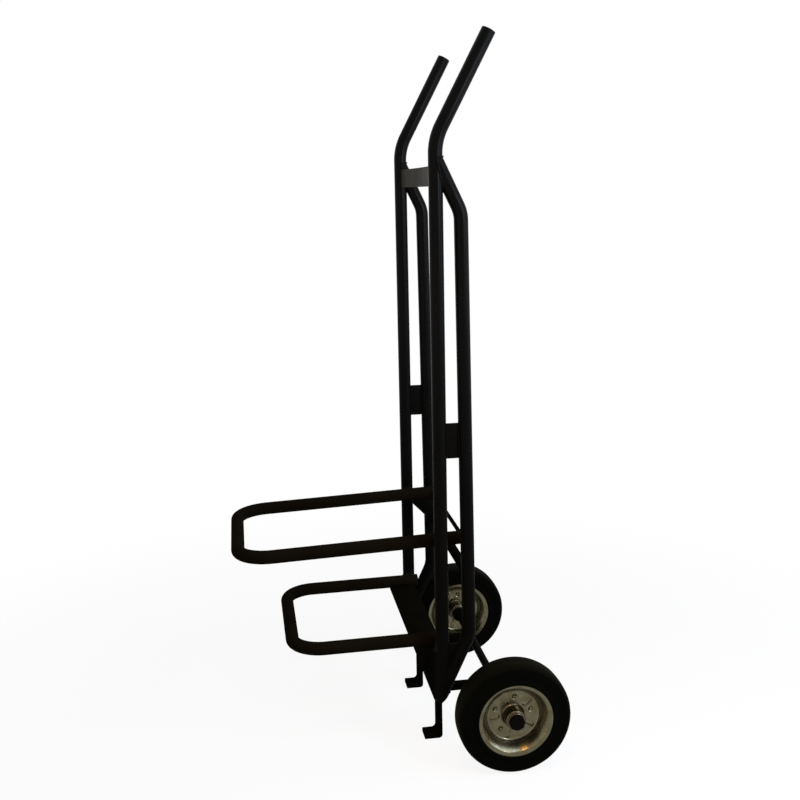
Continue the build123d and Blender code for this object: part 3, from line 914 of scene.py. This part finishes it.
zinc_pressing = zinc_plated(
    "zinc_plate_on_pressed_steel", clean="#65624f", yellowed="#5a533d", smoothest=0.17, roughest=0.3)
wall_line = [
    (wall_start[0] + wall_depth * share, wall_start[1] + wall_depth * wall_flare * (share + share**2))
    for share in (step / 12 for step in range(13))]
dish_line = [
    (0.0, 19.2), (1.7, 19.2), *[(2.0, radius) for radius in range(20, 47)], (2.3, 48.2), (3.0, 49.4),
    *wall_line, (25.9, 63.6), (26.9, 65.8), (27.7, 67.6), (28.4, 69.2), (28.4, 69.8),
    (27.8, 70.2), (27.0, 69.8), (26.2, 67.6), (25.4, 65.6),
    *[(along + back_offset[0], radius + back_offset[1]) for along, radius in reversed(wall_line)],
    (1.4, 51.2), (0.4, 49.8), (0.0, 48.0), (0.0, 34.0)]
for side, sign in SIDES:
    for face, facing in (("outer", sign), ("inner", -sign)):
        bm = bmesh.new()
        turned_wheel_piece(bm, flipped(dish_line, facing), sign * wheel_x, steps=240)
        for vert in bm.verts:
            along = facing * (vert.co.x - sign * wheel_x)
            across = vert.co - Vector((vert.co.x, axle_y, axle_z))
            away = across.length
            if along <= 1.5 or not rib_inner < away < rib_outer:
                continue
            for index in range(rivet_count):
                rib_line = spoke(first_rib, index)
                aside = (across - rib_line * across.dot(rib_line)).length
                if across.dot(rib_line) > 0 and aside < rib_width:
                    crown = 0.5 + 0.5 * cos(pi * aside / rib_width)
                    fade = min(1.0, (away - rib_inner) / rib_run_in, (rib_outer - away) / rib_run_out)
                    vert.co.x += facing * rib_height * crown * fade
                apart = (across - spoke(first_rivet, index) * rivet_ring).length
                let_in = min(1.0, max(0.0, (dimple_radius - apart) / dimple_slope))
                vert.co.x -= facing * dimple_depth * let_in
        hidden = [f"rim_{face}_{side}"]
        add_piece(bm, f"dish_{face}_{side}", zinc_pressing, hidden, f"wheel_{side}", sharp=40)


# Rivets and hubs: five round-headed rivets, each in a dimple, hold the dishes together.
# The hub is a turned barrel with a collar against each dish, its ends rounded over; its plate is darker.
zinc_turned = zinc_plated(
    "zinc_plate_on_turned_steel", clean="#565140", yellowed="#483f2d", smoothest=0.16, roughest=0.28)
rivet_line = [(0.0, 0.0), (2.9, 0.0), (2.8, 1.0), (2.4, 2.0), (1.8, 2.7), (1.0, 3.1), (0.4, 3.2), (0.0, 3.2)]
hub_line = [
    (2.05, 19.0), (2.05, 22.4), (2.5, 22.0), (3.6, 20.4), (4.6, 19.5), (6.0, 19.0), (23.6, 19.0),
    (25.0, 18.5), (25.8, 17.6), (26.0, 16.6), (26.0, 15.6)]
for side, sign in SIDES:
    bm = bmesh.new()
    for index in range(rivet_count):
        rivet = Vector((sign * wheel_x, axle_y, axle_z)) + spoke(first_rivet, index) * rivet_ring
        for facing in (1, -1):
            outline = [(rivet.x + along, radius) for along, radius in flipped(rivet_line, facing)]
            turned_bar(bm, outline, rivet.y, rivet.z, steps=24)
    add_piece(bm, f"rivets_{side}", zinc_pressing, [f"rim_rivets_{side}"], f"wheel_{side}")
    bm = bmesh.new()
    turned_wheel_piece(bm, flipped(reversed(hub_line), -1) + hub_line, sign * wheel_x, steps=96)
    add_piece(bm, f"barrel_hub_{side}", zinc_turned, [f"hub_{side}"], f"wheel_{side}")


# Washers: one steel washer between each cap and hub, stamped from strip and zinc plated.
# It sits loose on the axle, and the edge that the punch drew in is a little rounded.
washer_radius = 16.0
washer_near = wheel_x + 28.4
washer_line = [
    (washer_near, sleeve_bore), (washer_near, washer_radius - 0.5), (washer_near + 0.5, washer_radius),
    (washer_near + 1.8, washer_radius), (washer_near + 2.5, washer_radius - 0.9),
    (washer_near + 2.5, sleeve_bore)]
for side, sign in SIDES:
    bm = bmesh.new()
    turned_bar(bm, flipped(washer_line, sign), axle_y, axle_z, steps=64)
    add_piece(bm, f"washer_axle_{side}", zinc_turned, [f"axle_washer_{side}"])


# Bushes: moulded nylon, one pressed into each end of a hub and turning on the axle.
# A flange stands outside the hub, and grease has greyed it where it shows.
bush_line = [
    (6.0, sleeve_bore), (6.0, 15.5), (26.0, 15.5), (26.0, 16.6),
    (26.3, 17.0), (27.6, 17.0), (28.0, 16.5), (28.0, sleeve_bore)]


def greased_nylon():
    """Moulded nylon greyed by grease: dull, waxy and mottled."""
    material, tree, place = new_material("nylon_moulded_and_greased")
    smear = add_node(tree, "ShaderNodeTexNoise", inputs={
        "Vector": place, "Scale": 1 / (6 * mm), "Detail": 5.0})
    tone = add_node(tree, "ShaderNodeMix", {"data_type": "RGBA"}, {
        "Factor": smear.outputs["Fac"], "A": linear("#1c1a15"), "B": linear("#4a4435")})
    gloss = add_node(tree, "ShaderNodeMapRange", inputs={
        "Value": smear.outputs["Fac"], "From Min": 0.3, "From Max": 0.7, "To Min": 0.3, "To Max": 0.6})
    return finished(material, tree, {
        "Base Color": tone.outputs["Result"], "Roughness": gloss.outputs["Result"], "IOR": 1.53,
        "Specular IOR Level": 0.3})


nylon = greased_nylon()
for side, sign in SIDES:
    for face, facing in (("outer", sign), ("inner", -sign)):
        bm = bmesh.new()
        turned_wheel_piece(bm, flipped(bush_line, facing), sign * wheel_x, steps=48)
        hidden = [f"bush_{face}_{side}"]
        add_piece(bm, f"bush_flanged_{face}_{side}", nylon, hidden, f"wheel_{side}")


# Floor, backdrop, light and camera: a pale floor that keeps the shadow, and a white surround.
# A tall, cool lamp on the handle side gives most of the light, and one beside it streaks the tubes as a
# window would. A wide, weak, warm one stands in front, and a small one with a grid lights the wheels alone.
ambient = 0.38
floor_white_near = 0.9
scene = bpy.context.scene
scene.view_settings.view_transform = "Standard"


def seen_as_background(tree):
    """One for the rays by which the camera, a shiny or a clear surface sees the surround, or else nought."""
    path = add_node(tree, "ShaderNodeLightPath")
    seen = add_node(tree, "ShaderNodeMath", {"operation": "MAXIMUM"}, {
        0: path.outputs["Is Camera Ray"], 1: path.outputs["Is Glossy Ray"]})
    return add_node(tree, "ShaderNodeMath", {"operation": "MAXIMUM"}, {
        0: seen.outputs[0], 1: path.outputs["Is Transmission Ray"]}).outputs[0]


world = bpy.data.worlds.new("white_studio")
scene.world = world
world.use_nodes = True
tree = world.node_tree
tree.nodes.clear()
level = add_node(tree, "ShaderNodeMapRange", inputs={
    "Value": seen_as_background(tree), "To Min": ambient, "To Max": 1.0})
surround = add_node(tree, "ShaderNodeBackground", inputs={
    "Color": (1, 1, 1, 1), "Strength": level.outputs["Result"]})
add_node(tree, "ShaderNodeOutputWorld", inputs={"Surface": surround.outputs["Background"]})

floor_material, tree, place = new_material("white_floor")
away = add_node(tree, "ShaderNodeVectorMath", {"operation": "LENGTH"}, {0: place})
lift = add_node(tree, "ShaderNodeMapRange", {"interpolation_type": "SMOOTHSTEP"}, {
    "Value": away.outputs["Value"], "From Min": 0.5, "From Max": 1.6,
    "To Min": floor_white_near, "To Max": 1.0})
share = add_node(tree, "ShaderNodeMath", {"operation": "MULTIPLY"}, {
    0: seen_as_background(tree), 1: lift.outputs["Result"]})
matt_white = add_node(tree, "ShaderNodeBsdfDiffuse", inputs={"Color": (0.9, 0.9, 0.9, 1)})
white = add_node(tree, "ShaderNodeEmission", inputs={"Color": (1, 1, 1, 1), "Strength": 1.0})
both = add_node(tree, "ShaderNodeMixShader", inputs={
    "Fac": share.outputs[0], 1: matt_white.outputs["BSDF"], 2: white.outputs["Emission"]})
add_node(tree, "ShaderNodeOutputMaterial", inputs={"Surface": both.outputs["Shader"]})
bm = bmesh.new()
bmesh.ops.create_circle(bm, cap_ends=True, radius=6.0, segments=96)
bmesh.ops.translate(bm, verts=bm.verts, vec=(0, 0, -0.6 * mm))
floor_mesh = bpy.data.meshes.new("floor")
bm.to_mesh(floor_mesh)
bm.free()
floor_mesh.materials.append(floor_material)
floor = bpy.data.objects.new("floor", floor_mesh)
scene.collection.objects.link(floor)


def soft_lamp(name, place, aim, width, height, power, colour, spread=180):
    """A soft box turned towards a point; a grid narrows its spread."""
    lamp = bpy.data.lights.new(name, "AREA")
    lamp.shape = "RECTANGLE"
    lamp.size = width
    lamp.size_y = height
    lamp.energy = power
    lamp.spread = radians(spread)
    lamp.color = linear(colour)[:3]
    box = bpy.data.objects.new(name, lamp)
    box.location = place
    box.rotation_euler = (Vector(aim) - Vector(place)).to_track_quat("-Z", "Y").to_euler()
    scene.collection.objects.link(box)


soft_lamp(
    "lamp_back", place=(0.97, 1.54, 1.52), aim=(1.53, 0.26, 0.1),
    width=0.7, height=3.3, power=50, colour="#cfdfff")
soft_lamp(
    "lamp_window", place=(1.72, 1.37, 1.3), aim=(0.2, 0.08, 0.95),
    width=0.36, height=0.7, power=20, colour="#f2f4ff")
soft_lamp(
    "lamp_front", place=(1.4, -2.0, 0.9), aim=(0, 0, 0.5),
    width=3.2, height=3.2, power=12, colour="#ffd29a")
soft_lamp(
    "lamp_ceiling", place=(1.41, -0.16, 2.24), aim=(0.27, 0.25, 0.1),
    width=0.25, height=0.25, power=0.9, colour="#ffc272", spread=40)

eye = bpy.data.cameras.new("camera")
eye.sensor_width = 36.0
eye.lens = 48.11
eye.clip_end = 50.0
camera = bpy.data.objects.new("camera", eye)
stand = Vector((2.0491, -0.26772, 1.0677))
right = Vector((0.15160, 0.98844, -0.02125))
up = Vector((-0.18725, 0.04983, 0.98127))
turned = Matrix((right, up, right.cross(up))).transposed()
camera.matrix_world = Matrix.Translation(stand) @ turned.to_4x4()
scene.collection.objects.link(camera)
scene.camera = camera
